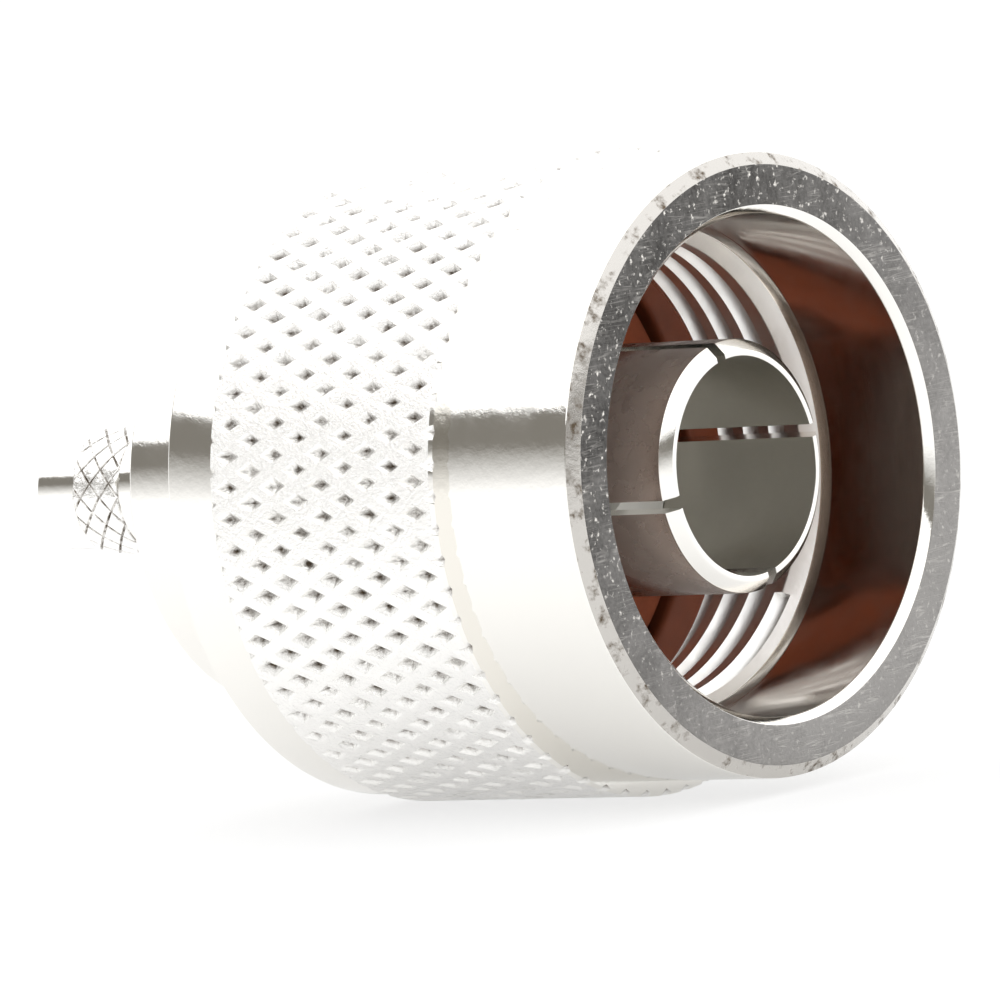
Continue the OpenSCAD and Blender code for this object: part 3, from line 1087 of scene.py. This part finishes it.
def lay_floor(stage):
    """A plain pale floor that the knurl rests on."""
    deselect()
    bpy.ops.mesh.primitive_plane_add(size=stage.floor_size, location=(0, 0, cad_box[0][2]))
    floor = named("floor")
    bpy.ops.object.transform_apply(location=True, rotation=False, scale=False)
    material, tree, shader, place = blank_material("floor", stage.floor, 0.0)
    shader.inputs["Roughness"].default_value = 0.9
    shader.inputs["Specular IOR Level"].default_value = 0.0
    seen = tree.nodes.new("ShaderNodeLightPath")
    glow = tree.nodes.new("ShaderNodeEmission")
    mix = tree.nodes.new("ShaderNodeMixShader")
    mirrored = calculate(tree, "MULTIPLY", seen.outputs["Is Glossy Ray"], stage.mirrored_glow)
    straight = calculate(tree, "MULTIPLY", seen.outputs["Is Camera Ray"], stage.glow)
    tree.links.new(calculate(tree, "ADD", mirrored, straight), mix.inputs["Fac"])
    tree.links.new(shader.outputs["BSDF"], mix.inputs[1])
    tree.links.new(glow.outputs["Emission"], mix.inputs[2])
    tree.links.new(mix.outputs["Shader"], tree.nodes["Material Output"].inputs["Surface"])
    floor.data.materials.append(material)


def set_camera(stage):
    """The camera, on the line from the point that it looks at."""
    away = Vector((
        math.cos(stage.elevation) * math.cos(stage.azimuth),
        math.cos(stage.elevation) * math.sin(stage.azimuth),
        math.sin(stage.elevation),
    ))
    turned = away.to_track_quat("Z", "Y") @ Quaternion((0, 0, 1), stage.roll)
    place = Vector(stage.aim) + away * stage.distance
    bpy.ops.object.camera_add(location=place, rotation=turned.to_euler())
    camera = bpy.context.object
    camera.data.lens = stage.focal_length
    camera.data.sensor_width = 36.0
    bpy.context.scene.camera = camera


class PLUG_OT_stage(bpy.types.Operator):
    """Lays the floor, lights the room and sets the camera"""

    bl_idname = "plug.stage"
    bl_label = "Floor, light and camera"

    def execute(self, context):
        stage = context.scene.plug_stage
        light_room(stage)
        lay_floor(stage)
        set_camera(stage)
        context.scene.view_settings.view_transform = "Standard"
        return {"FINISHED"}


# ---------------------------------------------------------------- panel and registration

SETTINGS = {
    "plug_nut": PlugNutSizes,
    "plug_thread": PlugThreadSizes,
    "plug_nut_knurl": PlugNutKnurl,
    "plug_stem_knurl": PlugStemKnurl,
    "plug_body": PlugBodySizes,
    "plug_contact": PlugContactSizes,
    "plug_gasket": PlugGasketSizes,
    "plug_finish": PlugFinish,
    "plug_stage": PlugStage,
}
OPERATORS = (
    PLUG_OT_stage,
    PLUG_OT_coupling_nut,
    PLUG_OT_body,
    PLUG_OT_outer_contact,
    PLUG_OT_gasket,
    PLUG_OT_inner_pieces,
)


class VIEW3D_PT_coaxial_plug(bpy.types.Panel):
    """Lists the pieces of the plug"""

    bl_label = "Coaxial Plug"
    bl_idname = "VIEW3D_PT_coaxial_plug"
    bl_space_type = "VIEW_3D"
    bl_region_type = "UI"
    bl_category = "Coaxial Plug"

    def draw(self, context):
        for operator in OPERATORS:
            self.layout.operator(operator.bl_idname)


def register():
    """Registers the settings, the operators and the panel."""
    for name, group in SETTINGS.items():
        bpy.utils.register_class(group)
        setattr(bpy.types.Scene, name, PointerProperty(type=group))
    for operator in OPERATORS:
        bpy.utils.register_class(operator)
    bpy.utils.register_class(VIEW3D_PT_coaxial_plug)


def unregister():
    """Takes them away again."""
    bpy.utils.unregister_class(VIEW3D_PT_coaxial_plug)
    for operator in reversed(OPERATORS):
        bpy.utils.unregister_class(operator)
    for name, group in reversed(SETTINGS.items()):
        delattr(bpy.types.Scene, name)
        bpy.utils.unregister_class(group)


def main():
    """Builds the stage and every piece."""
    register()
    bpy.ops.plug.stage()
    bpy.ops.plug.coupling_nut()
    bpy.ops.plug.body()
    bpy.ops.plug.outer_contact()
    bpy.ops.plug.gasket()
    bpy.ops.plug.inner_pieces()


if __name__ == "__main__":
    main()
